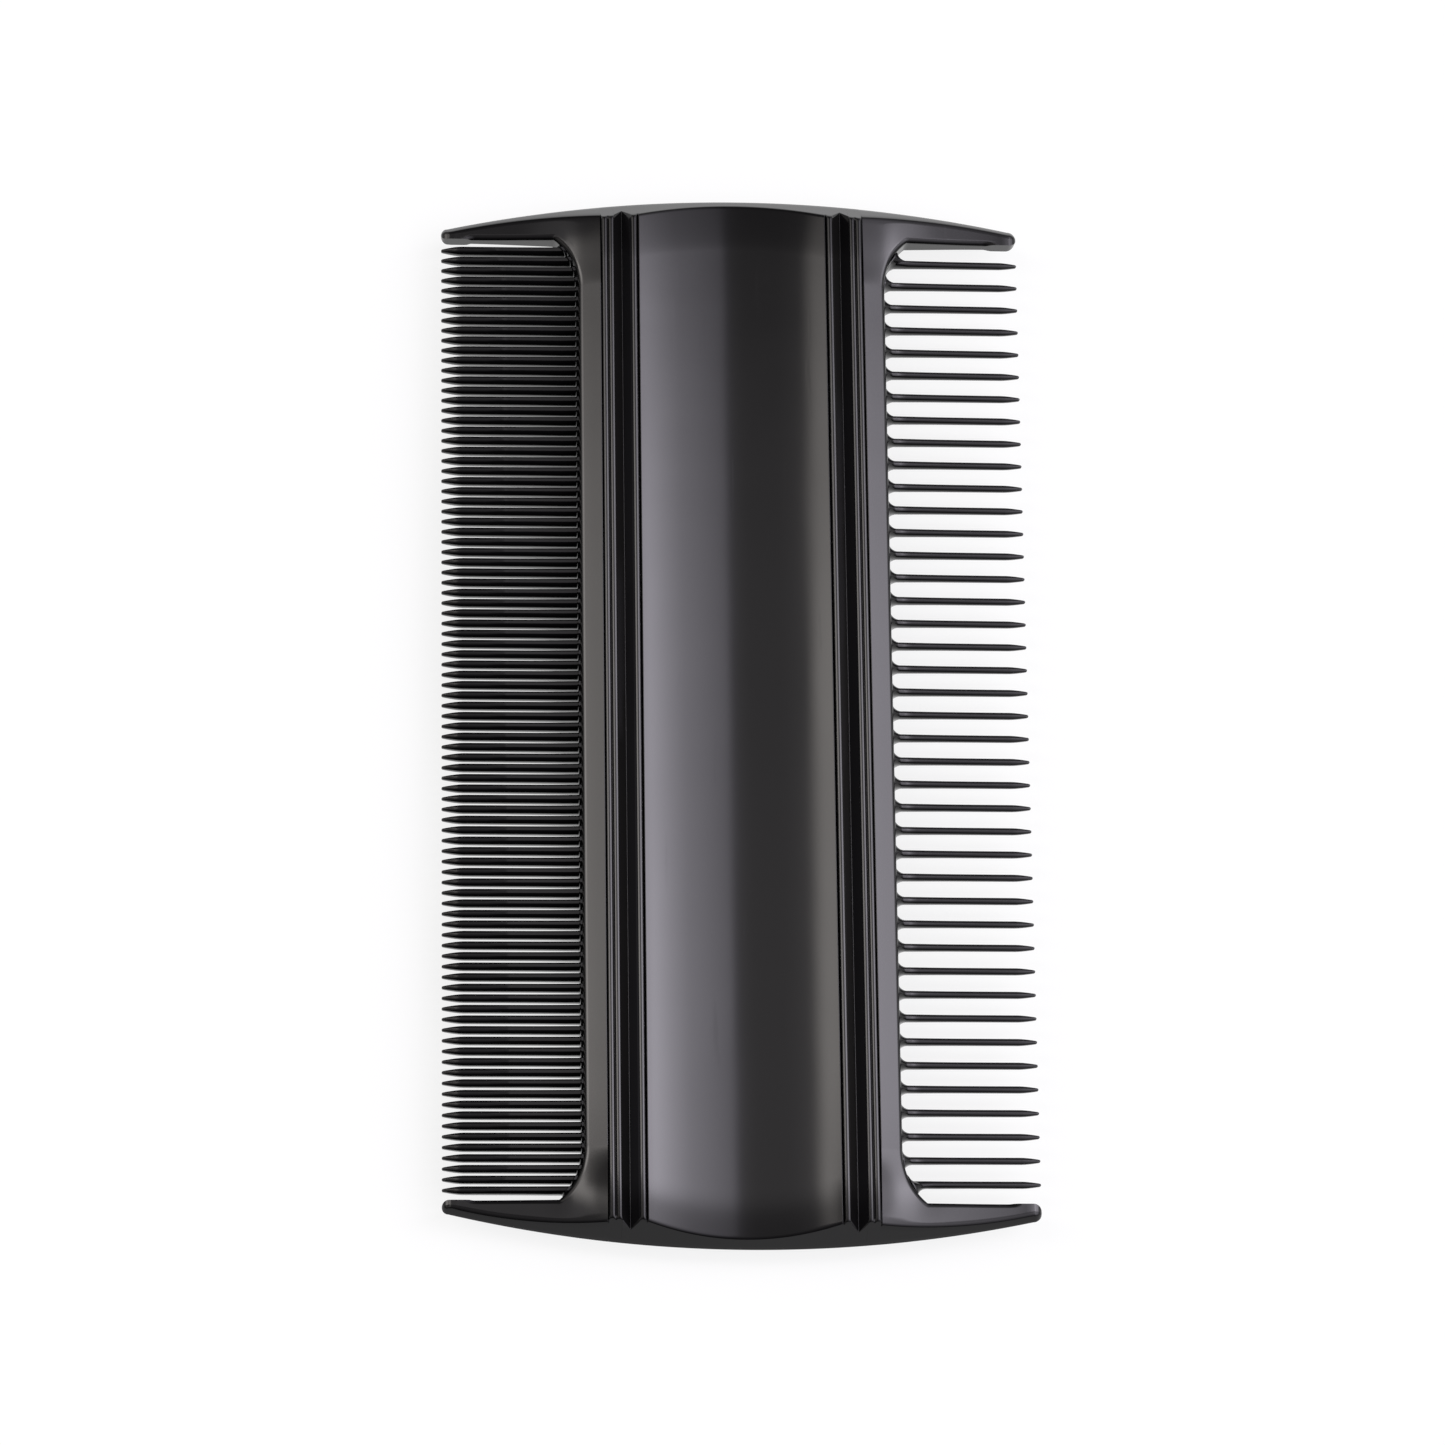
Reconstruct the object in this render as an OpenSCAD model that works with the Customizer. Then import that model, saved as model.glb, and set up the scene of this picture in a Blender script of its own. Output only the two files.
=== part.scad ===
// Double-sided hair comb, one black plastic moulding.
// Lies flat in the X-Y plane: fine teeth to -X, coarse teeth to +X, long axis along Y.
// Z = 0 is the pair of rib lands it rests on; the parting plane is at half thickness.

/* [Overall] */
// Length along Y, crown to crown
length = 90; // [89.5:0.5:94]
// Width along X, tooth tip to tooth tip
width = 49; // [46:0.5:51]
// Thickness over the two rib lands
thickness = 5.2; // [5.2:0.1:6]
// Plan radius of the bowed ends
end_radius = 112; // [104:0.5:130]
// How far the crown of the bowed ends sits towards the coarse side
end_shift = 1.2; // [0:0.1:1.6]
// How far the end faces lean outward from the faces to the parting plane
end_slant = 1.84; // [1:0.02:2]

/* [Thumb panel] */
// Half width of the hollowed panel
panel_half = 7.98; // [7.4:0.02:8]
// Half thickness left at the middle of the hollow
panel_core = 1.16; // [0.9:0.02:1.6]
// Half thickness at the long edges of the hollow
panel_edge = 2.46; // [2.2:0.02:2.46]

/* [Rails and shoulders] */
// Width of the V-shaped groove beside each rib
groove_w = 1.34; // [1.1:0.02:1.4]
// Depth of that groove below the rib land
groove_d = 1.25; // [0.6:0.05:1.3]
// Radius of the two small beads
bead_r = 0.23; // [0.18:0.01:0.24]
// Outer edge of the shoulder
shoulder_x = 12.9; // [12.5:0.05:12.95]
// Half thickness at the outer edge of the shoulder
shoulder_edge = 1.7; // [1.4:0.02:2]
// Half thickness of the bridge between the tooth roots
bridge_half = 1.25; // [1:0.05:1.5]

/* [End guards] */
// Half thickness near the guard tip
guard_half = 0.8; // [0.7:0.02:1.3]
// Radius of the hollow that runs from the body out along the guard
guard_sweep = 58; // [50:1:70]
// Radius of the web in the corner between body and guard
corner_r = 5.5; // [5:0.1:7]
// Length of that corner web along the body
corner_len = 4.25; // [3.6:0.05:4.5]

/* [Coarse teeth] */
// Number of coarse teeth
coarse_count = 41; // [35:1:47]
// Tooth width at the root
coarse_root_w = 0.62; // [0.6:0.02:0.9]
// Tooth width where the point begins
coarse_mid_w = 0.58; // [0.4:0.02:0.58]
// Tooth width at the rounded tip
coarse_tip_w = 0.28; // [0.2:0.02:0.36]

/* [Fine teeth] */
// Number of fine teeth
fine_count = 92; // [84:1:98]
// Tooth width at the root
fine_root_w = 0.7; // [0.68:0.01:0.72]
// Tooth width where the point begins
fine_mid_w = 0.66; // [0.4:0.02:0.66]
// Tooth width at the rounded tip
fine_tip_w = 0.28; // [0.16:0.02:0.32]

/* [Hidden] */
$fn = 64;
black = [0.07, 0.07, 0.08];
mid = thickness / 2;
half_w = width / 2;
big = 200;
// Seams between the regions lie in the bottoms of the valleys.
rail_out = 11.06;
rib_in = panel_half + 0.16;
rib_out = rib_in + 0.5;
groove_out = rib_out + groove_w;
groove_floor_x = rib_out + 0.48 * groove_w;
bead_top = mid - 0.16;
valley = mid - 0.42;
shoulder_top = mid - 0.28;
// Where the hollow along the guard is lowest.
sweep_x = 23;
// Both rows run between the middles of their end gaps; the guards start just beyond.
row_len = 81.2;
coarse_pitch = row_len / coarse_count;
fine_pitch = row_len / fine_count;
coarse_gap_r = (coarse_pitch - coarse_root_w) / 2;
fine_gap_r = (fine_pitch - fine_root_w) / 2;
coarse_edge = row_len / 2 + 0.66;
fine_edge = row_len / 2 + 0.43;
// Plan radius of the guard tips.
coarse_nose = 0.72;
fine_nose = 0.52;
// Gap bottoms start just outside the shoulder; teeth start on the gap centres.
coarse_root_x = shoulder_x + 0.1 + coarse_gap_r;
fine_root_x = shoulder_x + 0.25 + fine_gap_r;
slot_len = 5;

// Rounded end faces: two shallow double cones, one per end.
module end_cone() {
  translate([end_shift, length / 2 - end_radius, 0])
    rotate_extrude($fn = 360)
      polygon([
        [0, 0], [end_radius - end_slant, 0], [end_radius, mid],
        [end_radius - end_slant, thickness], [0, thickness]
      ]);
}

module end_trim() {
  intersection() {
    end_cone();
    mirror([0, 1, 0]) end_cone();
  }
}

// Trim for a part drawn on the +X side: side = 1 stays there, side = -1 is mirrored later.
module side_trim(side) {
  mirror([side < 0 ? 1 : 0, 0, 0]) end_trim();
}

// Pushes X-Z sections along Y between y0 and y1.
module along_y(y0, y1) {
  translate([0, y1, 0])
    rotate([90, 0, 0])
      for (i = [0 : $children - 1]) linear_extrude(height = y1 - y0) children(i);
}

// Upper half outline, given from the parting plane up, closed with its mirror image.
function both(half) =
  concat(half, [for (i = [len(half) - 1 : -1 : 0]) [half[i][0], thickness - half[i][1]]]);

module both_faces() {
  children();
  translate([0, thickness]) mirror([0, 1]) children();
}

module thumb_panel() {
  span = panel_half * panel_half;
  rise = panel_edge - panel_core;
  hollow_r = (span + rise * rise) / (2 * rise);
  color(black)
    intersection() {
      along_y(-big / 2, big / 2)
        difference() {
          translate([-panel_half, mid - panel_edge])
            square([2 * panel_half, 2 * panel_edge]);
          both_faces()
            translate([0, mid + panel_core + hollow_r]) circle(r = hollow_r, $fn = 180);
        }
      end_trim();
    }
}

module rail_section() {
  polygon(both([
    [panel_half, mid + panel_edge - 0.1],
    [rib_in, thickness - 0.1], [rib_in + 0.1, thickness],
    [rib_out - 0.12, thickness], [rib_out, thickness - 0.12],
    [rib_out + 0.04, thickness - 0.34], [groove_floor_x, thickness - groove_d],
    [groove_out, mid + valley], [rail_out, mid + valley]
  ]));
}

module bead_section() {
  for (x = [groove_out + bead_r, rail_out - bead_r - 0.03])
    both_faces() translate([x, mid + bead_top - bead_r]) circle(r = bead_r, $fn = 32);
}

module rail(side) {
  color(black)
    intersection() {
      along_y(-big / 2, big / 2) {
        rail_section();
        bead_section();
      }
      side_trim(side);
    }
}

module coarse_rail() { rail(1); }

module fine_rail() {
  mirror([1, 0, 0]) rail(-1);
}

module shoulder_section() {
  polygon(both([
    [rail_out, mid + valley], [rail_out + 0.12, mid + shoulder_top],
    [shoulder_x - 0.12, mid + shoulder_edge + 0.04], [shoulder_x, mid + shoulder_edge - 0.1]
  ]));
}

// Thin bridge that joins the tooth roots.
module bridge_section(root_x) {
  translate([rail_out + 0.5, mid - bridge_half])
    square([root_x - rail_out - 0.5, 2 * bridge_half]);
}

// Round-ended gaps between the teeth; they shift outward over the corner webs.
// The first and last gaps stop at the guards.
module gaps(count, pitch, gap_r, root_x, web_y) {
  for (i = [0 : count]) {
    y = (i - count / 2) * pitch;
    r = min(gap_r, web_y + corner_len - abs(y));
    translate([root_x + web_shift(y, web_y), y, -1]) {
      cylinder(r = r, h = thickness + 2, $fn = 32);
      translate([0, -r, 0]) cube([slot_len, 2 * r, thickness + 2]);
    }
  }
}

function web_shift(y, web_y) =
  abs(y) <= web_y ? 0 : corner_r - sqrt(corner_r * corner_r - pow(abs(y) - web_y, 2));

module shoulder(count, pitch, gap_r, root_x, web_y) {
  color(black)
    difference() {
      along_y(-web_y, web_y) {
        shoulder_section();
        bridge_section(root_x);
      }
      gaps(count, pitch, gap_r, root_x, web_y);
    }
}

module coarse_shoulder() {
  shoulder(coarse_count, coarse_pitch, coarse_gap_r, coarse_root_x, coarse_edge - corner_len);
}

module fine_shoulder() {
  mirror([1, 0, 0])
    shoulder(fine_count, fine_pitch, fine_gap_r, fine_root_x, fine_edge - corner_len);
}

// Guard seen from the end: hollow sweep out from the body, round nose.
module guard_section() {
  difference() {
    translate([rail_out, mid - shoulder_top])
      square([half_w - guard_half - rail_out, 2 * shoulder_top]);
    both_faces()
      translate([sweep_x, mid + guard_half + guard_sweep])
        circle(r = guard_sweep, $fn = 360);
  }
}

module nose_section() {
  translate([half_w - guard_half, mid]) circle(r = guard_half, $fn = 48);
}

// Plan of the guard: straight inner edge, round tip.
module guard_plan(edge_y, tip_r) {
  translate([rail_out, edge_y, 0]) cube([half_w - tip_r - rail_out, 6, thickness]);
  translate([half_w - tip_r, edge_y + tip_r, 0])
    cylinder(r = tip_r, h = thickness, $fn = 48);
}

// Plan of the corner web, hollowed by a large radius on the tooth side.
module web_plan(root_x, edge_y) {
  run = corner_r - sqrt(corner_r * corner_r - corner_len * corner_len);
  difference() {
    translate([rail_out, edge_y - corner_len])
      square([root_x + run - rail_out, corner_len + 0.01]);
    translate([root_x + corner_r, edge_y - corner_len]) circle(r = corner_r, $fn = 120);
  }
}

// The web thins a little towards the middle of the comb.
module web(edge_y) {
  lean = 4;
  intersection() {
    translate([0, edge_y, mid]) rotate([lean, 0, 0]) translate([0, -edge_y, -mid])
      along_y(edge_y - 8, edge_y + 2) guard_section();
    translate([0, edge_y, mid]) rotate([-lean, 0, 0]) translate([0, -edge_y, -mid])
      along_y(edge_y - 8, edge_y + 2) guard_section();
    linear_extrude(height = thickness) web_plan(shoulder_x, edge_y);
  }
}

module guard(count, pitch, gap_r, root_x, edge_y, tip_r, side) {
  web_y = edge_y - corner_len;
  color(black)
    intersection() {
      difference() {
        union() {
          along_y(web_y, big / 2) shoulder_section();
          web(edge_y);
          intersection() {
            along_y(edge_y, big / 2) {
              guard_section();
              nose_section();
            }
            guard_plan(edge_y, tip_r);
          }
          translate([0, 0, mid - bridge_half])
            linear_extrude(height = 2 * bridge_half) web_plan(root_x, edge_y);
        }
        gaps(count, pitch, gap_r, root_x, web_y);
      }
      side_trim(side);
    }
}

module coarse_guard_rear() {
  guard(coarse_count, coarse_pitch, coarse_gap_r, coarse_root_x, coarse_edge, coarse_nose, 1);
}

module coarse_guard_front() {
  mirror([0, 1, 0]) coarse_guard_rear();
}

module fine_guard_rear() {
  mirror([1, 0, 0])
    guard(fine_count, fine_pitch, fine_gap_r, fine_root_x, fine_edge, fine_nose, -1);
}

module fine_guard_front() {
  mirror([0, 1, 0]) fine_guard_rear();
}

// One tooth: bevelled bar, drawn to a rounded point in both directions.
module tooth(root_x, point_x, root_w, mid_w, tip_w, root_t, mid_t, tip_t) {
  tip_x = half_w - tip_w / 2;
  intersection() {
    linear_extrude(height = thickness) {
      polygon([
        [root_x, -root_w / 2], [root_x + 2, -mid_w / 2 - 0.01], [point_x, -mid_w / 2],
        [tip_x, -tip_w / 2], [tip_x, tip_w / 2],
        [point_x, mid_w / 2], [root_x + 2, mid_w / 2 + 0.01], [root_x, root_w / 2]
      ]);
      translate([tip_x, 0]) circle(r = tip_w / 2, $fn = 24);
    }
    along_y(-1, 1)
      polygon([
        [root_x, mid - root_t], [point_x, mid - mid_t], [half_w, mid - tip_t],
        [half_w, mid + tip_t], [point_x, mid + mid_t], [root_x, mid + root_t]
      ]);
    translate([root_x, 0, mid])
      rotate([90, 0, 90])
        linear_extrude(height = half_w)
          polygon([
            [-root_w / 2, -0.3], [-root_w / 5, -root_t], [root_w / 5, -root_t],
            [root_w / 2, -0.3], [root_w / 2, 0.3], [root_w / 5, root_t],
            [-root_w / 5, root_t], [-root_w / 2, 0.3]
          ]);
  }
}

// A row of separate teeth; the last few start on the corner webs.
module teeth_row(count, pitch, root_x, edge_y) {
  web_y = edge_y - corner_len;
  for (i = [0 : count - 1]) {
    y = (i - (count - 1) / 2) * pitch;
    if (abs(y) + pitch / 2 > web_y)
      difference() {
        translate([0, y, 0]) children();
        mirror([0, y < 0 ? 1 : 0, 0])
          linear_extrude(height = thickness) web_plan(root_x, edge_y);
      }
    else
      translate([0, y, 0]) children();
  }
}

module coarse_teeth() {
  color(black)
    teeth_row(coarse_count, coarse_pitch, coarse_root_x, coarse_edge)
      tooth(coarse_root_x, half_w - 1.6, coarse_root_w, coarse_mid_w, coarse_tip_w,
            0.6, 0.34, 0.22);
}

module fine_teeth() {
  color(black)
    mirror([1, 0, 0])
      teeth_row(fine_count, fine_pitch, fine_root_x, fine_edge)
        tooth(fine_root_x, half_w - 1.8, fine_root_w, fine_mid_w, fine_tip_w,
              1, 0.74, 0.3);
}

thumb_panel();
fine_rail();
coarse_rail();
fine_shoulder();
coarse_shoulder();
fine_guard_rear();
fine_guard_front();
coarse_guard_rear();
coarse_guard_front();
fine_teeth();
coarse_teeth();
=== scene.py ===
"""Double-sided hair comb in black moulded plastic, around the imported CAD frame."""

import math

import bmesh
import bpy
from mathutils import Matrix, Vector


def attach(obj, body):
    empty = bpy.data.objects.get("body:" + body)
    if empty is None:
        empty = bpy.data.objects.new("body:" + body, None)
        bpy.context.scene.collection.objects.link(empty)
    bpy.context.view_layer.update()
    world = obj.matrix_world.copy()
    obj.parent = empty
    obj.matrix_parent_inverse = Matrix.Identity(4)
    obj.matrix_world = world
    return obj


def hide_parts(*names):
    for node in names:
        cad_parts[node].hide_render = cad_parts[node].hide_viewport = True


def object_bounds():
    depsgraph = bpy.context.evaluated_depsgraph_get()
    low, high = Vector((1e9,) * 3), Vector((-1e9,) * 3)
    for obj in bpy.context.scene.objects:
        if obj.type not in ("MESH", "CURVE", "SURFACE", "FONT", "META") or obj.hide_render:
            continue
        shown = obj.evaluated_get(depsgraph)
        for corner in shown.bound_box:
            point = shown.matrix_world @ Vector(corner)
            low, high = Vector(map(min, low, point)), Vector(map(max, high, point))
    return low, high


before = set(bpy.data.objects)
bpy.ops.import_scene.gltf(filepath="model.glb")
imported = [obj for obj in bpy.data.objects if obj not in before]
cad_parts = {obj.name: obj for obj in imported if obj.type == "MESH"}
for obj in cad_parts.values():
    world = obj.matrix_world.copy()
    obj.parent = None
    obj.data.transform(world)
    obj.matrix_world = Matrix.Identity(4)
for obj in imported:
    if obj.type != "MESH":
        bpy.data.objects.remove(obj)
cad_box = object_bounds()

# Everything below is worked out in millimetres and scaled once, when a mesh is written.
MM = 0.001
CAD_HIGH = cad_box[1]
HALF_WIDTH = CAD_HIGH[0] / MM
# From the middle to the crown of the bowed ends, before their ridge is rounded.
HALF_LENGTH = 45.0
# Height of the parting plane, which is also the half thickness.
MID = CAD_HIGH[2] / MM / 2
# Beyond this angle in degrees two faces meet in a sharp edge.
SHARP_ANGLE = 50
# Spacing of the extra points that hold the ends of a rounding in place.
HOLD = 0.012

# Bowed ends: plan radius, shift of the crown towards the coarse teeth, and how far each
# face is set back from the parting plane.
END_RADIUS = 112.0
END_SHIFT = 1.2
END_SLANT = 1.84
# Rounding where the ends meet the faces, where they meet the groove, and at their ridge.
END_EDGE = 0.45
GROOVE_END_EDGE = 0.1
RIDGE_EDGE = 0.1
# Heights of the rows of points down an end face, the same on every strip.
END_LEVELS = (2.1, 1.75, 1.4, 1.1, 0.8, 0.45)

# Where the regions across the comb end, out from the centre line.
PANEL_X = 7.98
RAIL_X = 11.06
SHOULDER_X = 12.9
WALL_X = 13.0
# Half thicknesses: middle and long edges of the hollow panel, bottoms of the valleys that
# hold the seams, inner and outer edge of the shoulder, and the roots of the teeth.
PANEL_CORE = 1.16
PANEL_EDGE = 2.45
VALLEY = MID - 0.42
RIB_VALLEY = MID - 0.34
SHOULDER_TOP = MID - 0.28
SHOULDER_EDGE = 1.7
ROOT_HALF = 1.25
# Rounding of the shoulder's outer edge, and width of the rise out of the seam's valley.
SHOULDER_ROUND = 0.4
SHOULDER_RISE = 0.1
# Rib, V-shaped groove and beads. Places are distances out from the panel's edge.
RIB_AT = 0.34
RIB_RADIUS = 0.26
GROOVE_FROM = 0.68
GROOVE_LIP = 0.34
GROOVE_FLOOR = 1.3
GROOVE_DEPTH = 1.25
GROOVE_TO = 2.0
BEAD_RADIUS = 0.25
BEAD_DROP = 0.16
BEAD_GAP = 0.03

# End guards and their corner webs: plan radius and length of a web, half thickness near
# the tip, radius of the hollow along a guard and where it is lowest, rounding of the edge
# on the tooth side, and length of the rounded nose.
WEB_RADIUS = 5.5
WEB_LENGTH = 4.25
GUARD_HALF = 0.8
GUARD_SWEEP = 58.0
SWEEP_X = 23.0
GUARD_EDGE = 0.4
GUARD_NOSE = 0.9
# The shoulder's slope turns into the guard's between these distances from the guard's
# inner edge, and between these distances out from the shoulder.
TURN_FROM_Y = -4.2
TURN_TO_Y = 2.6
TURN_FROM_X = 1.2
TURN_TO_X = 7

# Tooth rows: side, count, length between the middles of the end gaps, distance from
# there to the guards, plan radius of the guard tips, width at root, at the start of the
# point and at the tip, half thickness at the same places, length of the point, where the
# gaps end, and number of facets round a tooth.
COARSE = dict(
    side=1, count=41, row=81.2, end_gap=0.66, nose=0.72, width=(0.62, 0.58, 0.28),
    depth=(0.6, 0.34, 0.22), point=1.6, gap_end=13.0, facets=16,
)
FINE = dict(
    side=-1, count=92, row=81.2, end_gap=0.43, nose=0.52, width=(0.7, 0.66, 0.28),
    depth=(1.0, 0.74, 0.3), point=1.8, gap_end=13.15, facets=12,
)


# ---------------------------------------------------------------- small helpers


def lerp(a, b, t):
    """Between a (t = 0) and b (t = 1)."""
    return a + (b - a) * t


def smooth(a, b, v):
    """0 for v up to a, 1 from b on, with a soft change between."""
    t = min(1.0, max(0.0, (v - a) / (b - a)))
    return t * t * (3 - 2 * t)


def spread(a, b, n):
    """n + 1 even values from a to b."""
    return [lerp(a, b, i / n) for i in range(n + 1)]


def rounded(points, steps=4):
    """A polyline whose corners are rounded. Each point is (x, h) or (x, h, radius)."""
    out = [points[0][:2]]
    for before, corner, after in zip(points, points[1:], points[2:]):
        if len(corner) < 3:
            out.append(corner[:2])
            continue
        c = Vector(corner[:2])
        u = (Vector(before[:2]) - c).normalized()
        v = (Vector(after[:2]) - c).normalized()
        half = math.acos(max(-1.0, min(1.0, u.dot(v)))) / 2
        run = corner[2] / math.tan(half)
        start, end = c + u * run, c + v * run
        out.append(tuple(start + u * HOLD))
        for i in range(steps + 1):
            t = i / steps
            p = start * (1 - t) ** 2 + c * 2 * t * (1 - t) + end * t**2
            out.append((p.x, p.y))
        out.append(tuple(end + v * HOLD))
    out.append(points[-1][:2])
    return out


def end_line(x, height):
    """Y of the bowed end at x, at a height above or below the parting plane."""
    radius = END_RADIUS - END_SLANT * abs(height) / MID
    return HALF_LENGTH - END_RADIUS + math.sqrt(radius**2 - (x - END_SHIFT) ** 2)


def outer_end(x, height, edge):
    """Upper half of the slanted end, from the face round its edge down to the ridge."""
    corner = Vector((end_line(x, height), height))
    ridge = Vector((end_line(x, 0), 0))
    fall = (ridge - corner).normalized()
    turn = math.acos(max(-1.0, min(1.0, fall.x)))
    run = min(edge * math.tan(turn / 2), 0.4 * (ridge - corner).length)
    radius = run / math.tan(turn / 2)
    centre = Vector((corner.x - run, corner.y - radius))
    points = []
    for i in range(5):
        a = math.pi / 2 - turn * i / 4
        points.append((centre.x + radius * math.cos(a), centre.y + radius * math.sin(a)))
    lowest = points[-1][1]
    for i, level in enumerate(END_LEVELS):
        z = min(level, lowest - HOLD * (i + 1))
        points.append((lerp(ridge.x, corner.x, z / height), z))
    half = math.pi / 2 - turn
    ridge_centre = ridge.x - RIDGE_EDGE / math.cos(half)
    for i in range(4):
        a = half * (1 - i / 3)
        points.append((ridge_centre + RIDGE_EDGE * math.cos(a), RIDGE_EDGE * math.sin(a)))
    return points


def mesh_from_loops(loops, name):
    """Skins closed loops of equal length into one closed mesh, in metres."""
    mesh = bmesh.new()
    rings = [[mesh.verts.new(Vector(p) * MM) for p in loop] for loop in loops]
    skin(mesh, rings)
    return finish_mesh(mesh, name)


def skin(mesh, rings):
    """Joins rings of points into a closed tube with flat ends."""
    for a, b in zip(rings, rings[1:]):
        for i in range(len(a)):
            j = (i + 1) % len(a)
            mesh.faces.new((a[i], a[j], b[j], b[i]))
    mesh.faces.new(list(reversed(rings[0])))
    mesh.faces.new(rings[-1])


def finish_mesh(mesh, name):
    """Turns a mesh under construction into a smooth-shaded object in the scene."""
    bmesh.ops.recalc_face_normals(mesh, faces=mesh.faces)
    data = bpy.data.meshes.new(name)
    mesh.to_mesh(data)
    mesh.free()
    data.shade_smooth()
    data.set_sharp_from_angle(angle=math.radians(SHARP_ANGLE))
    piece = bpy.data.objects.new(name, data)
    bpy.context.scene.collection.objects.link(piece)
    return piece


def full_loop(x, upper):
    """Closes an upper half line (y, height) with its mirror image, at height MID."""
    lower = [(y, -h) for y, h in reversed(upper[1:-1])]
    return [(x, y, MID + h) for y, h in upper + lower]


# ---------------------------------------------------------------- body of the comb


def panel_profile():
    """Hollow panel between two small lips that fall into the valleys beside the ribs."""
    rise = PANEL_EDGE - PANEL_CORE
    radius = (PANEL_X**2 + rise**2) / (2 * rise)

    def hollow(x):
        return PANEL_CORE + radius - math.sqrt(radius**2 - x * x)

    lip = PANEL_X - 0.09
    side = rounded(
        [(-PANEL_X, RIB_VALLEY), (-lip, hollow(lip), 0.05), (-lip + 0.3, hollow(lip - 0.3))]
    )
    middle = [(x, hollow(x)) for x in spread(-lip + 0.4, lip - 0.4, 44)]
    return side + middle + [(-x, h) for x, h in reversed(side)]


def arc_profile(x, height, radius, start, end, steps):
    """Arc from the inner side (0 degrees) over the top to the outer side (180)."""
    return [
        (x - radius * math.cos(math.radians(a)), height + radius * math.sin(math.radians(a)))
        for a in spread(start, end, steps)
    ]


def rail_profile():
    """Rounded rib, V-shaped groove and two beads, out to the shoulder's seam."""
    bead_h = MID - BEAD_DROP - BEAD_RADIUS
    outer = PANEL_X + GROOVE_TO
    rib = arc_profile(PANEL_X + RIB_AT, MID - RIB_RADIUS, RIB_RADIUS, 10, 155, 12)
    groove = rounded(
        [
            rib[-1],
            (PANEL_X + GROOVE_FROM, MID - GROOVE_LIP, 0.04),
            (PANEL_X + GROOVE_FLOOR, MID - GROOVE_DEPTH, 0.05),
            (outer - 0.02, bead_h - 0.06, 0.02),
            (outer, bead_h),
        ],
    )
    first = arc_profile(outer + BEAD_RADIUS - 0.01, bead_h, BEAD_RADIUS, 8, 155, 8)
    second = arc_profile(RAIL_X - BEAD_RADIUS - BEAD_GAP, bead_h, BEAD_RADIUS, 25, 172, 8)
    between = ((first[-1][0] + second[0][0]) / 2, first[-1][1] - BEAD_GAP)
    beads = first + [between] + second
    return [(PANEL_X, RIB_VALLEY)] + rib + groove[1:] + beads + [(RAIL_X, VALLEY)]


def shoulder_slope(x):
    """Half thickness of the shoulder at x, before its outer edge is rounded."""
    t = (x - RAIL_X - SHOULDER_RISE) / (SHOULDER_X - RAIL_X - SHOULDER_RISE)
    return lerp(SHOULDER_TOP, SHOULDER_EDGE, t)


def edge_fall(inside, radius):
    """How far a rounded edge has dropped at a distance inside its outline."""
    left = max(0.0, 1 - inside / radius)
    return radius * (1 - math.sqrt(max(0.0, 1 - left * left)))


def edge_stations():
    """X of the sections that catch the rounding along the outer edge of the shoulder."""
    sines = [math.sin(math.radians(a)) for a in range(0, 91, 10)]
    return [WALL_X - SHOULDER_ROUND * (1 - sine) for sine in sines]


def shoulder_profile():
    """Out of the valley, down the slope and round the outer edge."""
    inner = rounded(
        [
            (RAIL_X, VALLEY),
            (RAIL_X + SHOULDER_RISE, SHOULDER_TOP, 0.06),
            (RAIL_X + 0.4, shoulder_slope(RAIL_X + 0.4)),
        ],
        steps=6,
    )
    return inner + [
        (x, shoulder_slope(x) - edge_fall(WALL_X - x, SHOULDER_ROUND)) for x in edge_stations()
    ]


def panel_end_edge(height):
    """The same rounding at every height."""
    return END_EDGE


def rail_end_edge(height):
    """The groove runs out through the end face almost sharp."""
    return lerp(END_EDGE, GROOVE_END_EDGE, smooth(0.25, 0.6, MID - height))


def strip(name, profile, side, end_edge=panel_end_edge, length=None):
    """A run of the body along Y. With a length it stops at flat seams, not at the ends."""
    loops = []
    for x, h in profile:
        if length is None:
            far = outer_end(side * x, h, end_edge(h))
            y_top = far[0][0]
            near = [(-y, z) for y, z in reversed(far)]
            run = [(y, h) for y in spread(-y_top, y_top, 24)[1:-1]]
            upper = near + run + far
        else:
            upper = [(-length, 0.0), (-length, h / 2)]
            upper += [(y, h) for y in spread(-length, length, 24)]
            upper += [(length, h / 2), (length, 0.0)]
        loops.append(full_loop(side * x, upper))
    return mesh_from_loops(loops, name)


# ---------------------------------------------------------------- end guards


def row_edge(row):
    """Y of the inner edge of the guards that close a tooth row."""
    return row["row"] / 2 + row["end_gap"]


def web_shift(row, y):
    """How far the corner web carries the tooth roots outward at y."""
    over = abs(y) - (row_edge(row) - WEB_LENGTH)
    if over <= 0:
        return 0.0
    return WEB_RADIUS - math.sqrt(WEB_RADIUS**2 - min(over, WEB_LENGTH) ** 2)


def sweep_height(x):
    """Hollow line that runs from the body out along a guard."""
    return GUARD_HALF + GUARD_SWEEP - math.sqrt(GUARD_SWEEP**2 - (x - SWEEP_X) ** 2)


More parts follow.
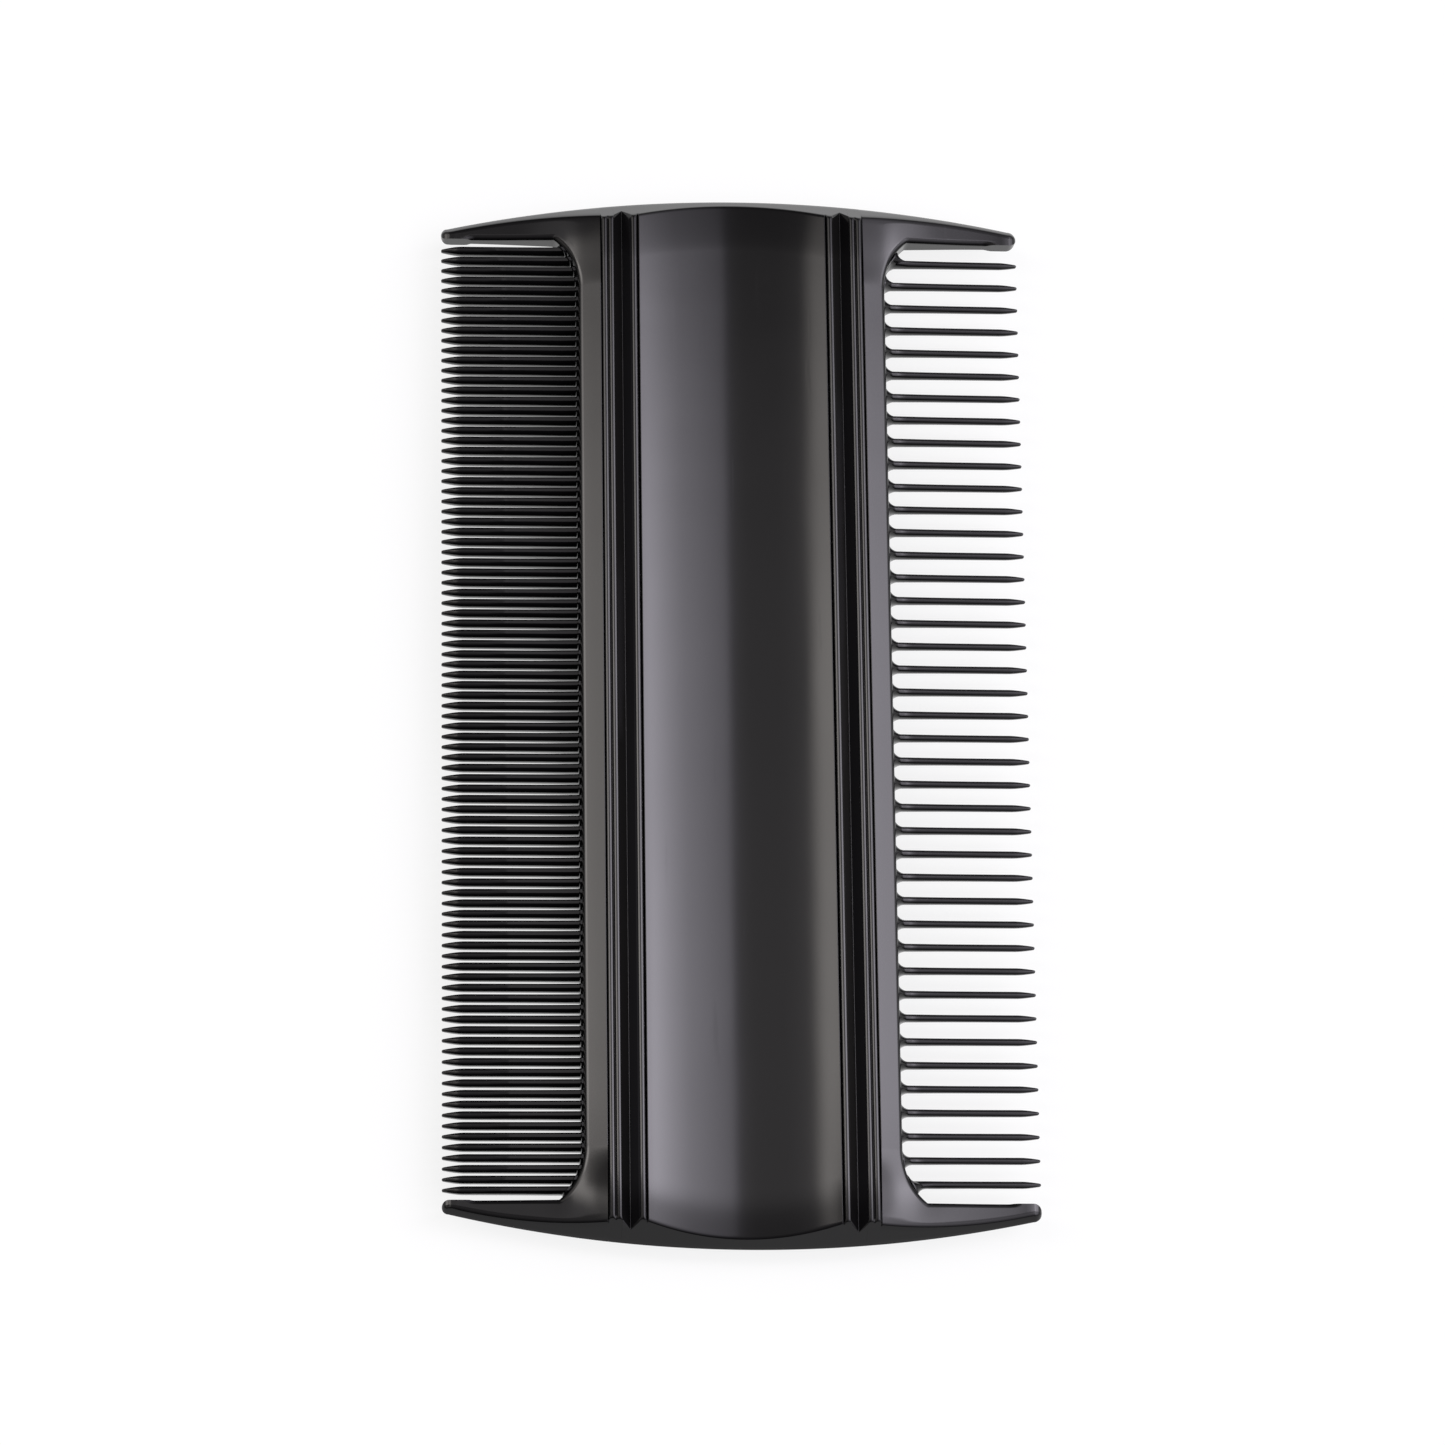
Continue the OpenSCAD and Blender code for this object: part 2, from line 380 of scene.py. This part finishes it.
def guard_height(x, y, edge_y):
    """The shoulder's slope turns into the flatter guard as y nears the end."""
    at = max(x, RAIL_X + SHOULDER_RISE)
    # The slope eases off beyond 1 mm past the shoulder and is level from 3 mm past it.
    over = min(1.0, max(0.0, (at - SHOULDER_X - 1) / 2))
    held = min(at, SHOULDER_X + 1) + 2 * (over - over * over / 2)
    drop = sweep_height(at) - shoulder_slope(held)
    drop *= 1 - smooth(SHOULDER_X + TURN_FROM_X, SHOULDER_X + TURN_TO_X, x)
    turned = smooth(edge_y + TURN_FROM_Y, edge_y + TURN_TO_Y, y)
    height = sweep_height(at) - drop * (1 - turned)
    if x < at:
        height -= (SHOULDER_TOP - VALLEY) * (at - x) / SHOULDER_RISE
    nose = (x - HALF_WIDTH + GUARD_NOSE) / GUARD_NOSE
    if nose > 0:
        height *= math.sqrt(max(0.0, 1 - nose * nose))
    return height


def guard_inner(row, x):
    """Y of the guard's inner side at x, round the corner web and the tip."""
    edge_y = row_edge(row)
    nose = row["nose"]
    over_tip = x - HALF_WIDTH + nose
    if x <= WALL_X:
        return edge_y - WEB_LENGTH
    reach = WEB_RADIUS - (x - WALL_X)
    over = math.sqrt(max(0.0, WEB_RADIUS**2 - max(reach, 0.0) ** 2))
    if over < WEB_LENGTH:
        return edge_y - WEB_LENGTH + over
    if over_tip > 0:
        return edge_y + nose - math.sqrt(max(0.0, nose**2 - over_tip**2))
    return edge_y


def inside_by(row, x, y):
    """Distance of a point from the outline of shoulder, corner web and guard."""
    edge_y = row_edge(row)
    over = max(0.0, y - edge_y + WEB_LENGTH)
    from_web = math.hypot(WALL_X + WEB_RADIUS - x, over) - WEB_RADIUS
    return max(y - max(edge_y, guard_inner(row, x)), from_web)


def guard_outer(row, x):
    """Y of the ridge of the bowed end at x, drawn in round the tip."""
    nose = row["nose"]
    tip_x = HALF_WIDTH - nose
    if x <= tip_x:
        return end_line(row["side"] * x, 0)
    middle = row_edge(row) + nose
    full = end_line(row["side"] * tip_x, 0) - middle
    return middle + full * math.sqrt(max(0.0, 1 - ((x - tip_x) / nose) ** 2))


def guard_section(row, x):
    """Upper half line of the guard at x, from its inner side to the ridge of the bowed end."""
    edge_y = row_edge(row)
    inner = guard_inner(row, x)
    ridge = guard_outer(row, x)
    height = guard_height(x, ridge, edge_y)
    side_x = row["side"] * x
    top = max(
        ridge - end_line(side_x, 0) + end_line(side_x, height), lerp(inner, ridge, 0.36)
    )
    edge = min(GUARD_EDGE, 0.42 * (top - inner), 0.7 * height)

    def surface(y):
        return guard_height(x, y, edge_y) - edge_fall(inside_by(row, x, y), edge)

    # Up the inner wall and across the top, with the points closest near the inner edge.
    wall = surface(inner)
    soft = min(END_EDGE * 0.52, 0.3 * (top - inner))
    run_end = top - soft
    upper = [(inner, wall * k / 3) for k in range(3)]
    upper += [(y, surface(y)) for y in (lerp(inner, run_end, (k / 30) ** 2) for k in range(31))]
    # Round the outer edge, then down the end face to the ridge.
    start = Vector((run_end, surface(run_end)))
    corner = Vector((top, surface(top)))
    fall = Vector((ridge, 0)) - corner
    end = corner + fall.normalized() * min(soft, 0.4 * fall.length)
    for t in (0.25, 0.5, 0.75, 1.0):
        p = start * (1 - t) ** 2 + corner * 2 * t * (1 - t) + end * t * t
        upper.append((p.x, p.y))
    last = Vector(upper[-1])
    for t in (0.35, 0.7, 0.94):
        upper.append(tuple(last.lerp(Vector((ridge, 0)), t)))
    upper.append((ridge - 0.02, 0.0))
    return upper


def guard(name, row, end):
    """One guard with its corner web, lofted outward from the rail. end is 1 or -1."""
    run = WEB_RADIUS - math.sqrt(WEB_RADIUS**2 - WEB_LENGTH**2)
    nose = row["nose"]
    tip_x = HALF_WIDTH - nose
    stations = [RAIL_X + offset for offset in (0, 0.05, SHOULDER_RISE, 0.12, 0.18)]
    stations += spread(RAIL_X + 0.3, WALL_X - SHOULDER_ROUND - 0.1, 6)
    stations += edge_stations()
    stations += [WALL_X + run * (i / 18) ** 2 for i in range(1, 19)]
    stations += spread(WALL_X + run + 0.25, tip_x, 26)
    stations += [
        tip_x + nose * math.sin(math.radians(a))
        for a in (10, 20, 30, 40, 49, 57, 64, 70, 75, 80, 84, 87.5)
    ]
    loops = []
    for x in stations:
        loop = full_loop(row["side"] * x, guard_section(row, x))
        loops.append([(px, end * py, pz) for px, py, pz in loop])
    return mesh_from_loops(loops, name)


# ---------------------------------------------------------------- teeth


def tooth_stations(row):
    """(distance from the gap end, half width, half thickness) along one tooth."""
    root, mid, tip = [w / 2 for w in row["width"]]
    root_t, mid_t, tip_t = row["depth"]
    half_pitch = row["row"] / row["count"] / 2
    gap = half_pitch - root
    length = HALF_WIDTH - row["gap_end"]
    point = length - row["point"]
    # Root inside the shoulder, quarter round of the gap, blade, point, rounded tip.
    out = [(WALL_X - 0.06 - row["gap_end"], half_pitch - 0.004, ROOT_HALF)]
    for a in (4, 20, 38, 56, 74, 90):
        x = gap * (1 - math.cos(math.radians(a)))
        flare = gap * (1 - math.sin(math.radians(a)))
        out.append((x, root + flare - 0.003, lerp(ROOT_HALF, root_t, x / gap)))
    for t in (0.12, 0.25, 0.4, 0.6, 0.8, 1.0):
        x = lerp(gap, point, t)
        out.append((x, lerp(root, mid, smooth(0, 0.4, t)), lerp(root_t, mid_t, t**0.6)))
    for t in (0.2, 0.4, 0.6, 0.8, 0.92):
        x = lerp(point, length - tip, t)
        out.append((x, lerp(mid, tip, t**1.6), lerp(mid_t, tip_t, t**1.5)))
    for a in (0, 30, 55, 75):
        c = math.cos(math.radians(a))
        x = length - tip + tip * math.sin(math.radians(a))
        out.append((x, tip * c, tip_t * (0.35 + 0.65 * c)))
    return out


def tooth_rings(row, y):
    """Rings of one tooth: flat-sided ovals that flare into the round gap ends."""
    half_pitch = row["row"] / row["count"] / 2
    length = HALF_WIDTH - row["gap_end"]
    shifts = [web_shift(row, y - half_pitch), web_shift(row, y + half_pitch)]
    rings = []
    for x, half_w, half_t in tooth_stations(row):
        ring = []
        for k in range(row["facets"]):
            a = 2 * math.pi * (k + 0.5) / row["facets"]
            c, s = math.cos(a), math.sin(a)
            across = math.copysign(abs(c) ** 0.8, c)
            shift = lerp(*shifts, 0.5 + 0.5 * across) * (1 - smooth(0.8, length, x))
            ring.append(
                (
                    row["side"] * (row["gap_end"] + x + shift),
                    y + half_w * across,
                    MID + half_t * math.copysign(abs(s) ** 0.8, s),
                )
            )
        rings.append(ring)
    return rings


def teeth(name, row):
    """A row of separate closed teeth in one object."""
    mesh = bmesh.new()
    for i in range(row["count"]):
        y = (i + 0.5 - row["count"] / 2) * row["row"] / row["count"]
        rings = [
            [mesh.verts.new(Vector(p) * MM) for p in ring] for ring in tooth_rings(row, y)
        ]
        skin(mesh, rings)
    return finish_mesh(mesh, name)


# ---------------------------------------------------------------- material


def node(tree, kind, **values):
    """Adds a shader node. Values are properties of the node or of its input sockets."""
    made = tree.nodes.new(kind)
    for key, value in values.items():
        if hasattr(made, key):
            setattr(made, key, value)
        else:
            made.inputs[key.replace("_", " ")].default_value = value
    return made


def step(tree, source, low, high):
    """Black below low, white above high, grey between."""
    ramp = node(tree, "ShaderNodeValToRGB")
    ramp.color_ramp.elements[0].position = low
    ramp.color_ramp.elements[1].position = high
    tree.links.new(source, ramp.inputs["Fac"])
    return ramp.outputs["Color"]


def add_share(tree, source, factor, rest):
    """source * factor + rest."""
    total = node(tree, "ShaderNodeMath", operation="MULTIPLY_ADD")
    total.inputs[1].default_value = factor
    tree.links.new(source, total.inputs[0])
    tree.links.new(rest, total.inputs[2])
    return total.outputs["Value"]


def comb_plastic():
    """Black moulded plastic: glossy, with flow marks, hairline scratches and worn edges."""
    material = bpy.data.materials.new("comb_plastic")
    material.use_nodes = True
    tree = material.node_tree
    link = tree.links.new
    shader = tree.nodes["Principled BSDF"]
    shader.inputs["IOR"].default_value = 1.5
    shader.inputs["Specular IOR Level"].default_value = 0.25
    place = node(tree, "ShaderNodeTexCoord").outputs["Object"]

    # Slow waviness of a moulded surface, and a very fine grain.
    wave = node(tree, "ShaderNodeTexNoise", Scale=55.0, Detail=2.0)
    grain = node(tree, "ShaderNodeTexNoise", Scale=2600.0, Detail=3.0)
    link(place, wave.inputs["Vector"])
    link(place, grain.inputs["Vector"])

    # Hairline scratches run mostly along the comb.
    stretch = node(tree, "ShaderNodeMapping")
    stretch.inputs["Scale"].default_value = (900.0, 60.0, 900.0)
    stretch.inputs["Rotation"].default_value = (0.0, 0.0, math.radians(7))
    link(place, stretch.inputs["Vector"])
    hair = node(tree, "ShaderNodeTexNoise", Scale=1.0, Detail=4.0, Distortion=0.4)
    link(stretch.outputs["Vector"], hair.inputs["Vector"])
    scratch = step(tree, hair.outputs["Fac"], 0.66, 0.72)

    # Rubbed edges are a little paler and duller.
    pointed = node(tree, "ShaderNodeNewGeometry").outputs["Pointiness"]
    edge = step(tree, pointed, 0.52, 0.62)

    colour = node(tree, "ShaderNodeValToRGB")
    colour.color_ramp.elements[0].color = (0.0010, 0.00095, 0.00105, 1)
    colour.color_ramp.elements[1].color = (0.0018, 0.0017, 0.0019, 1)
    link(wave.outputs["Fac"], colour.inputs["Fac"])
    fade = node(tree, "ShaderNodeMath", operation="MULTIPLY")
    fade.inputs[1].default_value = 0.6
    link(edge, fade.inputs[0])
    worn = node(tree, "ShaderNodeMix", data_type="RGBA")
    worn.inputs["B"].default_value = (0.006, 0.006, 0.0065, 1)
    link(fade.outputs["Value"], worn.inputs["Factor"])
    link(colour.outputs["Color"], worn.inputs["A"])
    link(worn.outputs["Result"], shader.inputs["Base Color"])

    # Roughness: waviness, plus what edges and scratches add.
    rough = node(tree, "ShaderNodeMapRange")
    rough.inputs["From Min"].default_value = 0.3
    rough.inputs["From Max"].default_value = 0.7
    rough.inputs["To Min"].default_value = 0.10
    rough.inputs["To Max"].default_value = 0.145
    link(wave.outputs["Fac"], rough.inputs["Value"])
    duller = add_share(tree, edge, 0.09, rough.outputs["Result"])
    link(add_share(tree, scratch, 0.05, duller), shader.inputs["Roughness"])

    normal = None
    for source, strength, distance in (
        (wave.outputs["Fac"], 0.35, 0.00012),
        (grain.outputs["Fac"], 0.12, 0.000004),
        (scratch, 0.10, 0.000006),
    ):
        bump = node(tree, "ShaderNodeBump", Strength=strength, Distance=distance)
        link(source, bump.inputs["Height"])
        if normal is not None:
            link(normal, bump.inputs["Normal"])
        normal = bump.outputs["Normal"]
    link(normal, shader.inputs["Normal"])
    return material


def floor_material():
    """Matt floor that gives off light of its own, so it reads as the photo's plain white."""
    material = bpy.data.materials.new("floor_paper")
    material.use_nodes = True
    shader = material.node_tree.nodes["Principled BSDF"]
    shader.inputs["Base Color"].default_value = (0.09, 0.092, 0.09, 1)
    shader.inputs["Roughness"].default_value = 0.9
    shader.inputs["Specular IOR Level"].default_value = 0.1
    shader.inputs["Emission Color"].default_value = (1, 1, 1, 1)
    shader.inputs["Emission Strength"].default_value = 0.81
    return material


# ---------------------------------------------------------------- studio


# Half size of the floor, and how far it lies below the comb, in metres.
FLOOR_HALF = 2.0
FLOOR_DROP = 0.00005


def add_floor():
    mesh = bmesh.new()
    bmesh.ops.create_grid(mesh, x_segments=4, y_segments=4, size=FLOOR_HALF)
    data = bpy.data.meshes.new("floor")
    mesh.to_mesh(data)
    mesh.free()
    floor = bpy.data.objects.new("floor", data)
    floor.location = (0, 0, -FLOOR_DROP)
    data.materials.append(floor_material())
    bpy.context.scene.collection.objects.link(floor)


# Brightness of the studio across the comb: lean from straight up towards +X in degrees,
# brightness, and tint. Dark overhead, pale walls to both sides. All studio values are set
# so that the tones match the photo from the photo's own viewpoint.
RIGHT_TINT = (0.94, 0.90, 1.0)
LEFT_TINT = (1.0, 0.95, 0.92)
DARK_TINT = (1.0, 0.96, 0.98)
STUDIO = (
    (-90, 5.0, LEFT_TINT), (-60, 11.5, LEFT_TINT), (-46, 10.5, LEFT_TINT),
    (-39, 7.2, LEFT_TINT), (-33, 6.2, LEFT_TINT), (-28, 8.6, LEFT_TINT),
    (-24, 7.6, LEFT_TINT), (-21.8, 4.7, LEFT_TINT), (-19.4, 1.7, DARK_TINT),
    (-11, 1.35, DARK_TINT), (1, 1.35, DARK_TINT), (4.5, 1.6, DARK_TINT),
    (6.8, 2.0, RIGHT_TINT), (8.6, 5.0, RIGHT_TINT), (16, 6.6, RIGHT_TINT),
    (24, 8.4, RIGHT_TINT), (30, 11.6, RIGHT_TINT), (37, 16.4, RIGHT_TINT),
    (42, 11.8, RIGHT_TINT), (48, 11.0, RIGHT_TINT), (90, 9.0, RIGHT_TINT),
)
# Brightness that stands for 1 in the ramps.
STUDIO_TOP = 17.0
# The same along the comb: Y of the direction, and share of the brightness.
STUDIO_ALONG = (
    (-0.9, 0.15), (-0.35, 0.45), (-0.05, 0.42), (0.105, 0.42), (0.135, 1.0), (0.18, 1.07),
    (0.215, 1.0), (0.24, 0.93), (0.29, 0.88), (0.311, 0.74), (0.328, 0.42), (0.345, 0.32),
    (0.5, 0.24), (0.9, 0.12),
)
# The far left wall stops sooner: from which X of the direction, where that is complete, and
# the extra share along the comb.
WALL_FROM = -0.41
WALL_FULL = -0.47
WALL_ALONG = ((-1.0, 0.25), (0.155, 0.25), (0.18, 1.0), (1.0, 1.0))
# The same by height: Z of the direction, and share of the brightness. The horizon is dim.
STUDIO_RISE = ((-1.0, 0.1), (0.0, 0.1), (0.12, 0.25), (0.3, 0.7), (0.45, 1.0))


def look_up(tree, source, reach, stops):
    """Colour by a value between -reach and reach, from stops of (value, colour)."""
    ramp = node(tree, "ShaderNodeValToRGB")
    elements = ramp.color_ramp.elements
    while len(elements) < len(stops):
        elements.new(1.0)
    for element, (value, colour) in zip(elements, stops):
        element.position = (value / reach + 1) / 2
        element.color = (*colour, 1)
    place = node(tree, "ShaderNodeMapRange")
    place.inputs["From Min"].default_value = -reach
    place.inputs["From Max"].default_value = reach
    tree.links.new(source, place.inputs["Value"])
    tree.links.new(place.outputs["Result"], ramp.inputs["Fac"])
    return ramp.outputs["Color"]


def share(tree, source, stops):
    """Share of the brightness by one coordinate of the direction."""
    return look_up(tree, source, 1.0, [(value, (level,) * 3) for value, level in stops])


def multiply(tree, a, b, factor=None):
    """Product of two colours. A factor blends between a alone and the full product."""
    both = node(tree, "ShaderNodeMix", data_type="RGBA", blend_type="MULTIPLY")
    both.inputs["Factor"].default_value = 1.0
    if factor is not None:
        tree.links.new(factor, both.inputs["Factor"])
    tree.links.new(a, both.inputs["A"])
    tree.links.new(b, both.inputs["B"])
    return both.outputs["Result"]


def add_world():
    """Studio whose brightness depends on the direction alone."""
    world = bpy.data.worlds.new("studio")
    world.use_nodes = True
    bpy.context.scene.world = world
    tree = world.node_tree
    link = tree.links.new
    back = tree.nodes["Background"]
    back.inputs["Strength"].default_value = STUDIO_TOP
    direction = node(tree, "ShaderNodeSeparateXYZ")
    link(node(tree, "ShaderNodeTexCoord").outputs["Generated"], direction.inputs["Vector"])
    x, y, z = (direction.outputs[axis] for axis in "XYZ")

    lean = node(tree, "ShaderNodeMath", operation="ARCSINE")
    link(x, lean.inputs[0])
    across = [
        (math.radians(degrees), [level / STUDIO_TOP * c for c in tint])
        for degrees, level, tint in STUDIO
    ]
    light = look_up(tree, lean.outputs["Value"], math.pi / 2, across)
    light = multiply(tree, light, share(tree, y, STUDIO_ALONG))
    light = multiply(tree, light, share(tree, z, STUDIO_RISE))

    wall = node(tree, "ShaderNodeMapRange")
    wall.inputs["From Min"].default_value = WALL_FROM
    wall.inputs["From Max"].default_value = WALL_FULL
    link(x, wall.inputs["Value"])
    light = multiply(tree, light, share(tree, y, WALL_ALONG), wall.outputs["Result"])
    link(light, back.inputs["Color"])


# Camera: turns about Z, X and Y in degrees, its offset in its own axes from the middle of
# the comb, in millimetres, and its lens for a sensor 36 mm wide.
CAMERA_TURNS = ((0.77, "Z"), (-14.48, "X"), (5.22, "Y"))
CAMERA_OFFSET = (1.13, 0.72, -475.1)
CAMERA_LENS = 142.35
CAMERA_SENSOR = 36.0


def add_camera():
    """The photograph's view: from the near end, well above, a touch to the left."""
    turn = Matrix.Identity(3)
    for degrees, axis in CAMERA_TURNS:
        turn = turn @ Matrix.Rotation(math.radians(degrees), 3, axis)
    place = -(turn.transposed() @ Vector(CAMERA_OFFSET))
    data = bpy.data.cameras.new("camera")
    data.sensor_width = CAMERA_SENSOR
    data.lens = CAMERA_LENS
    data.clip_start = 0.01
    camera = bpy.data.objects.new("camera", data)
    stand = Matrix.Translation((place + Vector((0, 0, MID))) * MM)
    camera.matrix_world = stand @ turn.transposed().to_4x4()
    bpy.context.scene.collection.objects.link(camera)
    bpy.context.scene.camera = camera


# ---------------------------------------------------------------- assembly


def build():
    """Makes every piece, gives it the plastic and puts it in the place of its CAD node."""
    plastic = comb_plastic()
    pieces = [("thumb_panel", strip("panel_skin", panel_profile(), 1))]
    for label, row in (("coarse", COARSE), ("fine", FINE)):
        side = row["side"]
        web_start = row_edge(row) - WEB_LENGTH
        pieces += [
            (
                f"{label}_rail",
                strip(f"{label}_rail_skin", rail_profile(), side, end_edge=rail_end_edge),
            ),
            (
                f"{label}_shoulder",
                strip(f"{label}_shoulder_skin", shoulder_profile(), side, length=web_start),
            ),
            (f"{label}_guard_rear", guard(f"{label}_guard_rear_skin", row, 1)),
            (f"{label}_guard_front", guard(f"{label}_guard_front_skin", row, -1)),
            (f"{label}_teeth", teeth(f"{label}_teeth_skin", row)),
        ]
    for name, piece in pieces:
        piece.data.materials.append(plastic)
        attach(piece, "root")
        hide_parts(name)


build()
add_floor()
add_world()
add_camera()
bpy.context.scene.view_settings.view_transform = "Standard"

bpy.context.view_layer.update()
